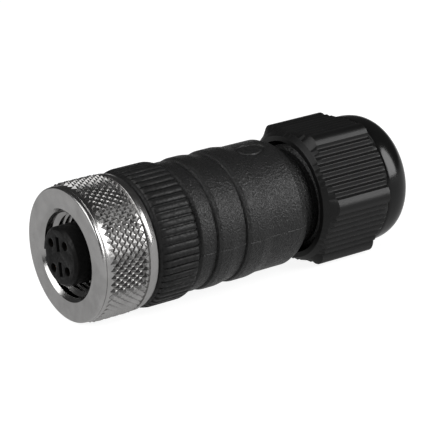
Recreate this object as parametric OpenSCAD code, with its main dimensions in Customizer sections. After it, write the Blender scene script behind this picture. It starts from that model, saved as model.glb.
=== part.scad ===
// Straight circular cable connector with a knurled coupling nut, a screw-terminal
// insert for four wires and a cable gland. All sizes are in millimetres.
// The axis runs along +X, from the mating face at x = 0 to the cable end.
// A flat of the hexagon on the gland nut faces down, along -Z.

/* [Insert] */
// Diameter of the insert that enters the mating half
insert_d = 8.4; // [8.2:0.1:8.6]
// Diameter of the insert's boss, on which the coupling nut turns
boss_d = 9.5; // [9.3:0.1:9.7]
// Diameter of the terminal block behind the collar's web
block_d = 12; // [11.6:0.1:12.2]
// Length of the insert ahead of its boss
insert_len = 7.4; // [7:0.1:7.6]
// Length of the terminal block
block_len = 15; // [14:0.1:15.6]
// Width of the keyway in the insert
key_w = 1.2; // [0.8:0.1:1.6]
// Depth of the keyway in the insert
key_depth = 0.8; // [0.5:0.1:1]
// Turn of the keyway about the axis, from the +Y side, in degrees
key_turn = -3.3; // [-45:0.1:45]
// Width of the two slots in the insert's face
slot_w = 0.8; // [0.6:0.1:1]
// Length of the two slots in the insert's face
slot_len = 2.1; // [1.6:0.1:2.3]

/* [Contacts] */
// Diameter of the circle that the contacts stand on
contact_pcd = 5; // [4.9:0.1:5.1]
// Diameter of the holes in the insert's face
pin_hole_d = 1.3; // [1.2:0.1:1.4]
// Bore of a contact, which takes the mating pin
socket_d = 0.95; // [0.9:0.01:0.98]
// Outside diameter of a contact's socket
socket_od = 1.7; // [1.5:0.1:1.8]
// Diameter of a contact's terminal barrel
barrel_d = 3; // [2.8:0.1:3.1]
// Length of a contact's terminal barrel
barrel_len = 11; // [10:0.1:11.4]
// Bore of a terminal, which takes the wire
wire_d = 1.7; // [1.6:0.1:1.9]

/* [Terminal screws] */
// Diameter of a terminal screw's shank
screw_d = 2; // [1.6:0.1:2]
// Diameter of a terminal screw's head
head_d = 3; // [2.6:0.1:3.2]
// Height of a terminal screw's head
head_h = 1; // [0.8:0.1:1]
// Width of the slot in a terminal screw
drive_w = 0.4; // [0.3:0.1:0.6]
// Thickness of the plate between a screw and its wire
plate_t = 0.2; // [0.15:0.05:0.2]

/* [Coupling nut] */
// Length of the coupling nut
nut_len = 8.9; // [8.7:0.1:9.2]
// Diameter over the knurl's points
knurl_d = 19.6; // [19:0.1:20.4]
// Depth of the knurl
knurl_depth = 0.32; // [0.2:0.02:0.4]
// Length of the knurled band
knurl_len = 6.25; // [5.6:0.05:6.4]
// Number of knurl points around the nut
knurl_count = 58; // [40:2:64]
// Number of knurl diamonds along the nut
knurl_rows = 5; // [3:1:6]
// Bore of the nut, at the crests of its thread
nut_bore_d = 10.9; // [10.8:0.1:11.2]
// Mouth of the nut, at the lead-in chamfer
nut_mouth_d = 13.2; // [12.6:0.1:13.6]
// Thickness of the web that holds the nut on the boss
web_t = 0.95; // [0.8:0.05:1.1]
// Distance from the mating face back to the nut's face
nut_setback = 1; // [0.8:0.1:1.4]

/* [Grip collar] */
// How far the collar's ribs stand out past the coupling nut's knurl
collar_rise = 0.05; // [0:0.05:0.2]
// Length of the collar's grip
collar_len = 6.55; // [6:0.05:7]
// Number of ribs around the collar
rib_count = 54; // [36:1:60]
// Depth of the grooves between the ribs
rib_depth = 0.35; // [0.25:0.01:0.45]
// Length of the plain rounded nose ahead of the ribs
nose_len = 1.1; // [0.8:0.1:1.6]
// Diameter of the threaded spigot behind the grip
spigot_d = 14.7; // [14.4:0.1:14.8]
// Length of the threaded spigot
spigot_len = 5; // [4.6:0.1:5.4]

/* [Housing] */
// Diameter of the housing's long rear part
housing_d = 18.4; // [18:0.1:18.6]
// Diameter of the two raised bands
band_d = 19; // [18.8:0.1:19.4]
// Diameter of the housing's plain front ring
front_ring_d = 18.6; // [18.2:0.1:18.8]
// Length of the housing, without its neck
housing_len = 19.4; // [18.8:0.1:20.2]
// Distance from the housing's front to the first ring groove
groove_1 = 3.15; // [3:0.05:3.4]
// Distance from the first ring groove to the second
groove_pitch = 4.9; // [4.8:0.1:5.1]
// Depth of the ring grooves below the bands
groove_depth = 0.45; // [0.3:0.05:0.5]
// Diameter of the housing's threaded neck
neck_d = 15.6; // [15.4:0.1:15.8]
// Length of the housing's neck
neck_len = 9.8; // [9.4:0.1:10.2]
// Wall of the housing round the wiring space
housing_wall = 1.5; // [1.2:0.1:1.6]
// Turn of the housing about the axis, in degrees
housing_turn = 12.4; // [0:0.1:30]
// Length of the plain oval panel
oval_len = 4.8; // [4:0.1:6]
// Width of the plain oval panel
oval_w = 3.4; // [2.6:0.1:4]

/* [Cable gland] */
// Width across the flats of the gland nut
hex_af = 19.1; // [18.8:0.1:19.4]
// Radius of the hexagon's corners
hex_corner_r = 1.5; // [1:0.1:1.8]
// Length of the hexagon
hex_len = 11.5; // [11:0.1:11.9]
// Number of flutes on each flat
flute_count = 8; // [5:1:8]
// Distance from one flute to the next
flute_pitch = 1; // [0.9:0.01:1.04]
// Depth of the flutes
flute_depth = 0.28; // [0.15:0.01:0.35]
// Diameter of the domed end where it leaves the hexagon
dome_d = 18.9; // [18.4:0.1:19]
// Length of the domed end
dome_len = 5.6; // [5.4:0.1:6.2]
// Cable hole in the domed end
cable_hole_d = 8.4; // [8:0.1:8.8]
// Bore of the cable seal
seal_bore_d = 6.6; // [6:0.1:7]
// Length of the cable seal
seal_len = 7.6; // [7.2:0.1:7.8]
// Number of fingers on the clamping cage
finger_count = 8; // [6:1:10]
// Length of the cage's fingers
finger_len = 5; // [4.8:0.1:5.2]
// Width of the slots between the fingers
finger_gap = 0.9; // [0.6:0.1:1.2]

/* [Clearances] */
// Clearance of fixed pieces in their seats
seat_gap = 0.05; // [0.03:0.01:0.07]
// Radial clearance of pieces that turn
turn_gap = 0.1; // [0.08:0.01:0.12]
// Gap between faces that close on each other
face_gap = 0.2; // [0.15:0.01:0.25]

/* [Hidden] */
$fn = 96;
eps = 0.01;

contact_count = 4;
edge = 0.4;
small_edge = 0.25;

// Coupling nut, from front to rear.
nut_x = nut_setback;
nut_rear_x = nut_x + nut_len;
web_x = nut_rear_x - web_t;
knurl_r = knurl_d / 2;
knurl_root_r = knurl_r - knurl_depth;
knurl_x = nut_x + 1.2;
nut_face_r = 9.1;
nut_tail_r = 9.45;

// Insert and the pieces on it.
insert_r = insert_d / 2;
boss_r = boss_d / 2;
block_r = block_d / 2;
seal_seat_depth = 0.2;
seal_seat_r = insert_r - seal_seat_depth;
face_seal_r = 0.6;
face_seal_x = insert_len - 2 * face_seal_r - seat_gap;
clip_t = 0.5;
clip_x = web_x - turn_gap - clip_t;
clip_r = nut_bore_d / 2 - small_edge;
clip_groove_depth = 0.3;
clip_groove_r = boss_r - clip_groove_depth;

// Grip collar.
collar_x = nut_rear_x + face_gap;
collar_rear_x = collar_x + collar_len;
block_x = collar_x + 1.9;
block_end_x = block_x + block_len;
spigot_r = spigot_d / 2;
spigot_end_x = collar_rear_x + spigot_len;
rib_r = knurl_r + collar_rise;
rib_root_r = rib_r - rib_depth;

// Contacts, and the screws and plates in them.
contact_r = contact_pcd / 2;
socket_x = 0.9;
barrel_x = block_x + 2.9;
barrel_end_x = barrel_x + barrel_len;
screw_x = barrel_end_x - 3;
plate_r = contact_r + edge;
screw_tip_r = plate_r + plate_t + 2 * eps;
head_top_r = block_r - 0.3;

// Housing.
housing_x = collar_rear_x + face_gap;
housing_rear_x = housing_x + housing_len;
neck_end_x = housing_rear_x + neck_len;
line_1_x = housing_x + groove_1;
line_2_x = line_1_x + groove_pitch;
housing_r = housing_d / 2;
band_r = band_d / 2;
neck_r = neck_d / 2;
neck_bore_r = neck_r - 1.3;
ring_seal_r = 0.55;
ring_seal_x = housing_x + seat_gap;
ring_seal_end_x = ring_seal_x + 2 * ring_seal_r;

// Cable gland.
gland_x = housing_rear_x + 2.2;
hex_rear_x = gland_x + hex_len;
gland_end_x = hex_rear_x + dome_len;
gland_wall_x = gland_end_x - 2.1;
hex_r = hex_af / 2;
cage_r = neck_bore_r - seat_gap;
cage_wall = 1.15;
cage_flange_t = 1;
cage_bore_r = cage_r - cage_wall;
finger_x = neck_end_x + cage_flange_t;
finger_end_x = finger_x + finger_len;
ring_r = cage_r - 0.5;

// ---- Helpers --------------------------------------------------------------

// Lays what is modelled along Z on the connector's axis.
module along_x() rotate([0, 90, 0]) children();

// A turned solid from points of radius and distance along the axis.
module turned(points) along_x() rotate_extrude() polygon(points);

// A round bar from distance x0 to distance x1.
module bar(r, x0, x1) translate([x0, 0, 0]) along_x() cylinder(r = r, h = x1 - x0);

// A tube from distance x0 to distance x1.
module tube(r, bore_r, x0, x1) {
  difference() {
    bar(r, x0, x1);
    bar(bore_r, x0 - eps, x1 + eps);
  }
}

// A rubber ring of round section that starts at distance x.
module rubber_ring(mid_r, section_r, x)
  translate([x + section_r, 0, 0]) along_x() rotate_extrude()
    translate([mid_r, 0]) circle(section_r, $fn = 32);

// Turns what is modelled on the +Y side about the axis.
module turned_by(angle) rotate([angle, 0, 0]) children();

// A round bar that points outwards at distance x, from radius r0 to radius r1.
module spoke(r, x, r0, r1) translate([x, r0, 0]) rotate([-90, 0, 0]) cylinder(r = r, h = r1 - r0);

// Points of an arc in the plane of radius and distance.
function arc(mid, r, a0, a1, n = 5) =
  [for (i = [0:n]) let (a = a0 + (a1 - a0) * i / n) mid + r * [cos(a), sin(a)]];

// Angle of one contact about the axis.
function contact_angle(i) = key_turn + (i + 0.5) * 360 / contact_count;

// ---- Coupling nut -----------------------------------------------------------

// A knurled ring: its grid of points rises and falls in turn, and each square of
// the grid folds along its two low points, which leaves rows of pyramids.
module knurl_ring(x0, length, inner_r) {
  columns = 2 * knurl_count;
  rows = 2 * knurl_rows;
  function is_high(j, k) = j > 0 && j < rows && (j + k) % 2 == 1;
  function place(r, j, k) =
    let (a = 360 * k / columns) [x0 + length * j / rows, r * cos(a), r * sin(a)];
  outside = [
    for (j = [0:rows], k = [0:columns - 1]) place(is_high(j, k) ? knurl_r : knurl_root_r, j, k)
  ];
  inside = [for (j = [0, rows], k = [0:columns - 1]) place(inner_r, j, k)];
  function o(j, k) = j * columns + k % columns;
  function n(j, k) = len(outside) + j * columns + k % columns;
  skin = [
    for (j = [0:rows - 1], k = [0:columns - 1])
      each (j + k) % 2 == 0
        ? [[o(j, k), o(j + 1, k + 1), o(j, k + 1)], [o(j, k), o(j + 1, k), o(j + 1, k + 1)]]
        : [[o(j, k), o(j + 1, k), o(j, k + 1)], [o(j, k + 1), o(j + 1, k), o(j + 1, k + 1)]]
  ];
  ends = [
    for (k = [0:columns - 1])
      each [
        [o(0, k), o(0, k + 1), n(0, k + 1), n(0, k)],
        [n(1, k), n(1, k + 1), o(rows, k + 1), o(rows, k)],
        [n(0, k), n(0, k + 1), n(1, k + 1), n(1, k)]
      ]
  ];
  polyhedron(points = concat(outside, inside), faces = concat(skin, ends), convexity = 4);
}

module coupling_nut() {
  knurl_bury = 0.12;
  knurl_core_r = knurl_root_r - knurl_bury;
  knurl_end_x = knurl_x + knurl_len;
  knurl_inner_r = knurl_core_r - 0.6;
  front_band_r = nut_face_r + edge + seat_gap;
  tail_band_r = knurl_root_r + 0.2;
  tail_band_end_x = knurl_end_x + 0.6;
  mouth_depth = (nut_mouth_d - nut_bore_d) / 2;
  color("silver") union() {
    knurl_ring(knurl_x - knurl_bury, knurl_len + 2 * knurl_bury, knurl_inner_r);
    turned(concat(
      [[nut_mouth_d / 2, nut_x]],
      arc([nut_face_r, nut_x + edge], edge, -90, 0),
      [
        [nut_face_r + edge - 0.1, nut_x + edge + 0.1],
        [front_band_r, nut_x + edge + 0.2],
        [front_band_r, knurl_x],
        [knurl_core_r, knurl_x],
        [knurl_core_r, knurl_end_x],
        [tail_band_r, knurl_end_x],
        [tail_band_r, tail_band_end_x],
        [nut_tail_r, nut_rear_x],
        [boss_r + turn_gap, nut_rear_x],
        [boss_r + turn_gap, web_x],
        [nut_bore_d / 2, web_x],
        [nut_bore_d / 2, nut_x + mouth_depth]
      ]
    ));
  }
}

// ---- Insert and what it carries -----------------------------------------------

// A spring ring in the insert's groove, open on one side.
module nut_retaining_clip() {
  opening = 60;
  color("lightgray") difference() {
    tube(clip_r, clip_groove_r + seat_gap, clip_x, clip_x + clip_t);
    for (side = [-1, 1])
      turned_by(180 + side * opening / 4)
        translate([clip_x - eps, 0, -clip_r / 2])
          cube([clip_t + 2 * eps, clip_r + 1, clip_r]);
  }
}

module mating_seal()
  color("dimgray") rubber_ring(seal_seat_r + seat_gap + face_seal_r, face_seal_r, face_seal_x);

module contact_insert() {
  slot_depth = 1.5;
  key_len = face_seal_x - 0.3;
  barrel_bore_r = barrel_d / 2 + seat_gap;
  socket_bore_r = socket_od / 2 + seat_gap;
  color([0.1, 0.1, 0.1]) difference() {
    turned([
      [0, 0],
      [insert_r - edge, 0],
      [insert_r, edge],
      [insert_r, face_seal_x - seat_gap],
      [seal_seat_r, face_seal_x - seat_gap],
      [seal_seat_r, insert_len],
      [boss_r, insert_len],
      [boss_r, clip_x - seat_gap],
      [clip_groove_r, clip_x - seat_gap],
      [clip_groove_r, clip_x + clip_t + seat_gap],
      [boss_r, clip_x + clip_t + seat_gap],
      [boss_r, block_x + seat_gap],
      [block_r, block_x + seat_gap],
      [block_r, block_end_x],
      [0, block_end_x]
    ]);
    turned_by(key_turn)
      translate([-eps, insert_r - key_depth, -key_w / 2])
        cube([key_len, key_depth + 1, key_w]);
    for (side = [-1, 1])
      turned_by(key_turn + side * 90)
        translate([-eps, contact_r * cos(45) - slot_len / 2, -slot_w / 2])
          cube([slot_depth, slot_len, slot_w]);
    for (i = [0:contact_count - 1])
      turned_by(contact_angle(i)) {
        translate([0, contact_r, 0]) {
          bar(pin_hole_d / 2, -eps, socket_x);
          bar(socket_bore_r, socket_x - seat_gap, barrel_x);
          bar(barrel_bore_r, barrel_x - seat_gap, block_end_x + eps);
        }
        spoke(head_d / 2 + seat_gap, screw_x, contact_r, block_r + 1);
      }
  }
}

// One contact: a socket for the mating pin, and a barrel for the wire.
module contact(i) {
  wire_depth = 6.2;
  color("gold") turned_by(contact_angle(i)) difference() {
    translate([0, contact_r, 0]) union() {
      bar(socket_od / 2, socket_x, barrel_x + eps);
      bar(barrel_d / 2, barrel_x, barrel_end_x);
    }
    translate([0, contact_r, 0]) {
      bar(socket_d / 2, socket_x - eps, insert_len);
      bar(wire_d / 2, barrel_end_x - wire_depth, barrel_end_x + eps);
    }
    spoke(screw_d / 2 + seat_gap, screw_x, contact_r, contact_r + barrel_d);
  }
}

// The plate that keeps a turning screw off its wire.
module wire_plate(i) {
  plate_len = 2.6;
  plate_w = 1.1;
  color("silver") turned_by(contact_angle(i))
    translate([screw_x - plate_len / 2, plate_r, -plate_w / 2])
      cube([plate_len, plate_t, plate_w]);
}

// A slotted screw that points at the axis.
module terminal_screw(i) {
  head_r = head_top_r - head_h;
  color("lightgray") turned_by(contact_angle(i)) difference() {
    union() {
      spoke(screw_d / 2, screw_x, screw_tip_r, head_r + eps);
      spoke(head_d / 2, screw_x, head_r, head_top_r);
    }
    translate([screw_x - head_d, head_top_r - head_h / 2, -drive_w / 2])
      cube([2 * head_d, head_h, drive_w]);
  }
}

// ---- Grip collar ----------------------------------------------------------------

// Outline of the ribs: each is a flat crest and two slopes, with a flat root between.
function rib_outline() = [
  for (i = [0:rib_count - 1], q = [[rib_r, 0], [rib_r, 0.5], [rib_root_r, 0.65], [rib_root_r, 0.85]])
    let (a = 360 / rib_count * (i + q[1])) q[0] * [cos(a), sin(a)]
];

module grip_collar() {
  nose_r = 1.3;
  nose_band_r = rib_r - 0.12;
  tail_bevel = 0.45;
  thread_x = ring_seal_end_x + seat_gap;
  groove_r = spigot_r - ring_seal_r - seat_gap;
  color([0.12, 0.12, 0.12]) difference() {
    union() {
      turned(concat(
        [[0, collar_x]],
        arc([nose_band_r - nose_r, collar_x + nose_r], nose_r, -90, -10),
        [[rib_root_r, collar_x + nose_len + 0.3], [0, collar_x + nose_len + 0.3]]
      ));
      intersection() {
        translate([collar_x, 0, 0]) along_x() linear_extrude(collar_len) polygon(rib_outline());
        turned([
          [0, collar_x + nose_len],
          [rib_root_r, collar_x + nose_len],
          [rib_r, collar_x + nose_len + rib_depth],
          [rib_r, collar_rear_x - tail_bevel],
          [rib_r - tail_bevel, collar_rear_x],
          [0, collar_rear_x]
        ]);
      }
      turned([
        [0, collar_rear_x - 1],
        [groove_r, collar_rear_x - 1],
        [groove_r, thread_x],
        [spigot_r, thread_x],
        [spigot_r, spigot_end_x - edge],
        [spigot_r - edge, spigot_end_x],
        [0, spigot_end_x]
      ]);
    }
    bar(boss_r + seat_gap, collar_x - 1, block_x + eps);
    bar(block_r + seat_gap, block_x, spigot_end_x + eps);
  }
}

module housing_seal()
  color("dimgray") rubber_ring(spigot_r, ring_seal_r, ring_seal_x);

// ---- Housing ----------------------------------------------------------------------

// A ring groove at distance x, and the band behind it that eases down at ease_x.
function band_points(x, front_r, ease_x) = [
  [front_r, x - groove_depth / 3],
  [band_r - groove_depth, x],
  [band_r, x + groove_depth / 3],
  [band_r, ease_x],
  [(band_r + housing_r) / 2, ease_x + 0.8],
  [housing_r, ease_x + 1.6]
];

module housing_sleeve() {
  shoulder_r = 1.3;
  rise_r = band_r - 0.1;
  cavity_r = housing_r - housing_wall;
  cavity_x = spigot_end_x + 0.5;
  cavity_end_x = housing_rear_x - 1.6;
  seat_r = spigot_r + ring_seal_r + seat_gap;
  seat_end_x = ring_seal_end_x + 0.15;
  thread_r = spigot_r + turn_gap;
  thread_bevel = 0.3;
  shoulder_x = housing_rear_x - shoulder_r;
  oval_x = housing_rear_x - 4.9;
  oval_border = 0.35;
  color([0.13, 0.13, 0.13]) turned_by(housing_turn) difference() {
    turned(concat(
      [
        [seat_r, housing_x],
        [front_ring_d / 2 - small_edge, housing_x],
        [front_ring_d / 2, housing_x + small_edge]
      ],
      band_points(line_1_x, rise_r, line_1_x + 2.6),
      band_points(line_2_x, rise_r, line_2_x + 2.8),
      [[housing_r, shoulder_x]],
      arc([housing_r - shoulder_r, shoulder_x], shoulder_r, 0, 80),
      [
        [neck_r, housing_rear_x],
        [neck_r, neck_end_x - edge],
        [neck_r - edge, neck_end_x],
        [neck_bore_r, neck_end_x],
        [neck_bore_r, cavity_end_x + 1],
        [cavity_r, cavity_end_x],
        [cavity_r, cavity_x],
        [thread_r, cavity_x - thread_bevel],
        [thread_r, seat_end_x + thread_bevel],
        [seat_r, seat_end_x]
      ]
    ));
    // The border of the plain oval panel on top.
    translate([oval_x, 0, housing_r - small_edge])
      scale([oval_len / oval_w, 1, 1])
        difference() {
          cylinder(d = oval_w, h = 1);
          translate([0, 0, -eps]) cylinder(d = oval_w - 2 * oval_border, h = 0.15 + eps);
        }
  }
}

// ---- Cable gland --------------------------------------------------------------------

// The cage that grips the seal: a flange, a short sleeve in the neck, and fingers.
module clamp_cage() {
  sleeve_len = 2.5;
  flange_r = neck_r - edge;
  finger_root = 0.6;
  color([0.85, 0.85, 0.82]) difference() {
    turned([
      [cage_bore_r, neck_end_x - sleeve_len],
      [cage_r, neck_end_x - sleeve_len],
      [cage_r, neck_end_x],
      [flange_r, neck_end_x],
      [flange_r, finger_x],
      [cage_r, finger_x],
      [cage_r, finger_end_x - edge],
      [cage_r - edge, finger_end_x],
      [cage_bore_r, finger_end_x]
    ]);
    for (i = [0:finger_count - 1])
      turned_by(i * 360 / finger_count)
        translate([finger_x + finger_root, 0, -finger_gap / 2])
          cube([finger_len, 2 * cage_r, finger_gap]);
  }
}

module cable_seal() {
  seal_r = cage_bore_r - seat_gap;
  bore_r = seal_bore_d / 2;
  end_x = finger_end_x - edge;
  x = end_x - seal_len;
  color("dimgray") turned([
    [bore_r + edge, x],
    [seal_r - edge, x],
    [seal_r, x + edge],
    [seal_r, end_x - edge],
    [seal_r - edge, end_x],
    [bore_r + edge, end_x],
    [bore_r, end_x - edge],
    [bore_r, x + edge]
  ]);
}

// A loose ring that lets the gland nut turn against the fingers.
module pressure_ring()
  color([0.85, 0.85, 0.82])
    tube(ring_r, cable_hole_d / 2 + face_gap, finger_end_x + face_gap, gland_wall_x - face_gap);

// A turn about the origin, for a row of coordinates on its left.
function turn_2d(a) = [[cos(a), sin(a)], [-sin(a), cos(a)]];

// One scallop on the +X flat, as five points centred at height y.
function flute(y) = [
  for (q = [-2:2]) [hex_r - flute_depth * cos(45 * q), y + 0.46 * flute_pitch * sin(45 * q)]
];

// Outline of the hexagon, with scalloped flats and rounded corners.
function hex_outline() = [
  for (side = [0:5])
    let (corner = (hex_r - hex_corner_r) / cos(30) * [cos(30), sin(30)])
      each concat(
        [
          for (i = [0:flute_count - 1], p = flute((i - (flute_count - 1) / 2) * flute_pitch))
            p * turn_2d(60 * side)
        ],
        [
          for (q = [0:5])
            (corner + hex_corner_r * [cos(12 * q), sin(12 * q)]) * turn_2d(60 * side)
        ]
      )
];

// Radius of the dome at a share t of its length.
function dome_r(t) =
  let (power = 2.4) cable_hole_d / 2 + (dome_d - cable_hole_d) / 2 * pow(1 - pow(t, power), 1 / power);

module gland_nut() {
  point_r = (hex_r - hex_corner_r) / cos(30) + hex_corner_r + small_edge / 2;
  front_bevel = 0.5;
  rear_bevel = 0.9;
  dome_x = hex_rear_x + 0.6;
  dome_steps = 14;
  thread_r = neck_r + turn_gap;
  cone_x = neck_end_x + 2.5;
  lip = 0.5;
  color([0.09, 0.09, 0.09]) difference() {
    union() {
      intersection() {
        translate([gland_x, 0, 0]) along_x() linear_extrude(hex_len) polygon(hex_outline());
        turned([
          [0, gland_x],
          [point_r - 1.5 * front_bevel, gland_x],
          [point_r, gland_x + front_bevel],
          [point_r, hex_rear_x - rear_bevel],
          [dome_d / 2 - small_edge, hex_rear_x],
          [0, hex_rear_x]
        ]);
      }
      turned(concat(
        [[0, hex_rear_x - 1], [dome_d / 2, hex_rear_x - 0.5]],
        [
          for (i = [0:dome_steps])
            let (t = sin(90 * i / dome_steps)) [dome_r(t), dome_x + (gland_end_x - dome_x) * t]
        ],
        [[0, gland_end_x]]
      ));
    }
    turned([
      [0, gland_x - eps],
      [thread_r + edge, gland_x - eps],
      [thread_r, gland_x + edge],
      [thread_r, neck_end_x + lip],
      [thread_r - lip, cone_x],
      [ring_r + face_gap, gland_wall_x],
      [cable_hole_d / 2, gland_wall_x],
      [cable_hole_d / 2, gland_end_x - lip],
      [cable_hole_d / 2 + lip, gland_end_x + eps],
      [0, gland_end_x + eps]
    ]);
  }
}

coupling_nut();
nut_retaining_clip();
mating_seal();
contact_insert();
for (i = [0:contact_count - 1]) {
  contact(i);
  wire_plate(i);
  terminal_screw(i);
}
grip_collar();
housing_seal();
housing_sleeve();
clamp_cage();
cable_seal();
pressure_ring();
gland_nut();
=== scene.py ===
"""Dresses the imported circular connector: its finished pieces, materials, lights and camera."""

import math

import bmesh
import bpy
import numpy as np
from mathutils import Matrix, Vector


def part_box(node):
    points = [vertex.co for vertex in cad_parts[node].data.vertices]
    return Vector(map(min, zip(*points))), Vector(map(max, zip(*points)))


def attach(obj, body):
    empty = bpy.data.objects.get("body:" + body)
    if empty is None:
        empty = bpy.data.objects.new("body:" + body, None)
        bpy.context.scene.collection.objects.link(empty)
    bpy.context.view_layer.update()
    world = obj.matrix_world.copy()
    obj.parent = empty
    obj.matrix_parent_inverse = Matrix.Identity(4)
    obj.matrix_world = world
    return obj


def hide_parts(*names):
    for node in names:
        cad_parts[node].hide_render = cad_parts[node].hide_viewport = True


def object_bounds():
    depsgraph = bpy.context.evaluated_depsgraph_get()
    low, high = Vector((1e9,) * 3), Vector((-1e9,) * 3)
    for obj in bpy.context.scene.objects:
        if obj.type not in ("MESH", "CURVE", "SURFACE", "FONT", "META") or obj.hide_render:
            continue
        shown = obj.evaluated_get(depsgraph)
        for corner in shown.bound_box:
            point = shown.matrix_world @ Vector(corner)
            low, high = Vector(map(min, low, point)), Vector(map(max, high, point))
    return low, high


bl_info = {
    "name": "Circular connector",
    "version": (1, 0, 0),
    "blender": (4, 5, 0),
    "location": "3D View > Sidebar > Connector",
    "description": "Builds the pieces, finishes and stage of a knurled cable connector",
    "category": "Object",
}

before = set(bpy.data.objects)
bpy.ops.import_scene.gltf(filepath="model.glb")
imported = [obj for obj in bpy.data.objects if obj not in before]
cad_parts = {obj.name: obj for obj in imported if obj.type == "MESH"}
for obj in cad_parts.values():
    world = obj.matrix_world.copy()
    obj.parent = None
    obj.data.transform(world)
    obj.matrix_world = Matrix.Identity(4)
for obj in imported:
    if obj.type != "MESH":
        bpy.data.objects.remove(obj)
CAD_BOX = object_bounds()

MM = 0.001
TAU = 2 * math.pi
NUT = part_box("coupling_nut")
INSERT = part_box("contact_insert")
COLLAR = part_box("grip_collar")
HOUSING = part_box("housing_sleeve")
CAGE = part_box("clamp_cage")
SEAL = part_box("cable_seal")
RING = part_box("pressure_ring")
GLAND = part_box("gland_nut")


# ---- Mesh helpers -----------------------------------------------------------


def fillet(corners, steps=5):
    """Rounds a closed outline. Each corner is (x, r) or (x, r, radius of its round), in millimetres."""
    points = []
    count = len(corners)
    for i, corner in enumerate(corners):
        here = np.array(corner[:2], float)
        size = corner[2] if len(corner) > 2 else 0
        if not size:
            points.append(here)
            continue
        back = np.array(corners[i - 1][:2], float) - here
        ahead = np.array(corners[(i + 1) % count][:2], float) - here
        back_len, ahead_len = np.linalg.norm(back), np.linalg.norm(ahead)
        back, ahead = back / back_len, ahead / ahead_len
        half = math.acos(np.clip(back @ ahead, -1, 1)) / 2
        reach = min(size / math.tan(half), 0.49 * back_len, 0.49 * ahead_len)
        radius = reach * math.tan(half)
        middle = here + (back + ahead) / np.linalg.norm(back + ahead) * radius / math.sin(half)
        start, end = here + back * reach - middle, here + ahead * reach - middle
        sweep = math.pi - 2 * half
        for step in range(steps + 1):
            t = step / steps
            mix = (math.sin((1 - t) * sweep) * start + math.sin(t * sweep) * end) / math.sin(sweep)
            points.append(middle + mix)
    return np.array(points)


def mesh_object(name, verts, faces, sharp=35):
    """A smooth-shaded object from vertices in metres, with doubles merged and normals outwards."""
    mesh = bpy.data.meshes.new(name)
    mesh.from_pydata([tuple(v) for v in verts], [], faces)
    work = bmesh.new()
    work.from_mesh(mesh)
    bmesh.ops.remove_doubles(work, verts=work.verts, dist=1e-7)
    bmesh.ops.recalc_face_normals(work, faces=work.faces)
    work.to_mesh(mesh)
    work.free()
    mesh.shade_smooth()
    mesh.set_sharp_from_angle(angle=math.radians(sharp))
    obj = bpy.data.objects.new(name, mesh)
    bpy.context.scene.collection.objects.link(obj)
    return obj


def shell(name, x, radius, angles, sharp=35):
    """A closed ring-shaped skin: one ring for each x in millimetres, with radii for each angle."""
    rings, columns = len(x), len(angles)
    radius = np.broadcast_to(np.asarray(radius, float), (rings, columns))
    verts = np.empty((rings, columns, 3))
    verts[..., 0] = np.asarray(x, float)[:, None]
    verts[..., 1] = radius * np.cos(angles)
    verts[..., 2] = radius * np.sin(angles)
    i, j = np.meshgrid(np.arange(rings), np.arange(columns), indexing="ij")
    i2, j2 = (i + 1) % rings, (j + 1) % columns
    quads = np.stack([i * columns + j, i2 * columns + j, i2 * columns + j2, i * columns + j2], -1)
    return mesh_object(name, verts.reshape(-1, 3) * MM, quads.reshape(-1, 4).tolist(), sharp)


def turned(name, corners, columns=160, sharp=35):
    """A piece turned about the axis from a closed outline of (x, r, round)."""
    outline = fillet(corners)
    angles = np.linspace(0, TAU, columns, endpoint=False)
    return shell(name, outline[:, 0], outline[:, 1][:, None], angles, sharp)


def thread(name, root, crest, x0, x1, pitch, steps=56):
    """A right-handed thread ridge from x0 to x1 that rises from the root radius to the crest."""
    turns = (x1 - x0) / pitch
    count = max(8, int(steps * turns))
    sink = 0.06 * (1 if root > crest else -1)
    section = [(-0.48, root + sink), (-0.44, root), (-0.07, crest), (0.07, crest), (0.44, root), (0.48, root + sink)]
    verts = []
    for k in range(count + 1):
        along = k / count
        angle = TAU * turns * along
        fade = min(1, 14 * along, 14 * (1 - along))
        for offset, radius in section:
            low = root + sink
            r = low + (radius - low) * fade
            x = x0 + (x1 - x0) * along + offset * pitch
            verts.append((x, r * math.cos(angle), r * math.sin(angle)))
    size = len(section)
    faces = [
        (k * size + q, k * size + (q + 1) % size, (k + 1) * size + (q + 1) % size, (k + 1) * size + q)
        for k in range(count)
        for q in range(size)
    ]
    return mesh_object(name, np.array(verts) * MM, faces, 25)


def joined(name, *objects):
    """Joins several objects into the first one and renames it."""
    with bpy.context.temp_override(active_object=objects[0], selected_editable_objects=list(objects)):
        bpy.ops.object.join()
    objects[0].name = name
    return objects[0]


def dressed_copy(name, node, bevel=0.05, sharp=35, clean=0.002):
    """A merged, bevelled copy of a CAD node, so that its edges catch the light."""
    obj = bpy.data.objects.new(name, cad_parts[node].data.copy())
    bpy.context.scene.collection.objects.link(obj)
    work = bmesh.new()
    work.from_mesh(obj.data)
    bmesh.ops.remove_doubles(work, verts=work.verts, dist=clean * MM)
    bmesh.ops.dissolve_limit(work, angle_limit=math.radians(1.5), verts=work.verts, edges=work.edges)
    work.to_mesh(obj.data)
    work.free()
    obj.data.materials.clear()
    obj.data.shade_smooth()
    if bevel:
        edge = obj.modifiers.new("Edges", "BEVEL")
        edge.width = bevel * MM
        edge.segments = 2
        edge.limit_method = "ANGLE"
        edge.angle_limit = math.radians(40)
        edge.harden_normals = False
        apply_modifiers(obj)
    obj.data.shade_smooth()
    obj.data.set_sharp_from_angle(angle=math.radians(sharp))
    return obj


def apply_modifiers(obj):
    """Bakes an object's modifiers into its mesh and removes them."""
    bpy.context.view_layer.update()
    evaluated = obj.evaluated_get(bpy.context.evaluated_depsgraph_get())
    mesh = bpy.data.meshes.new_from_object(evaluated)
    obj.modifiers.clear()
    obj.data = mesh


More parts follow.
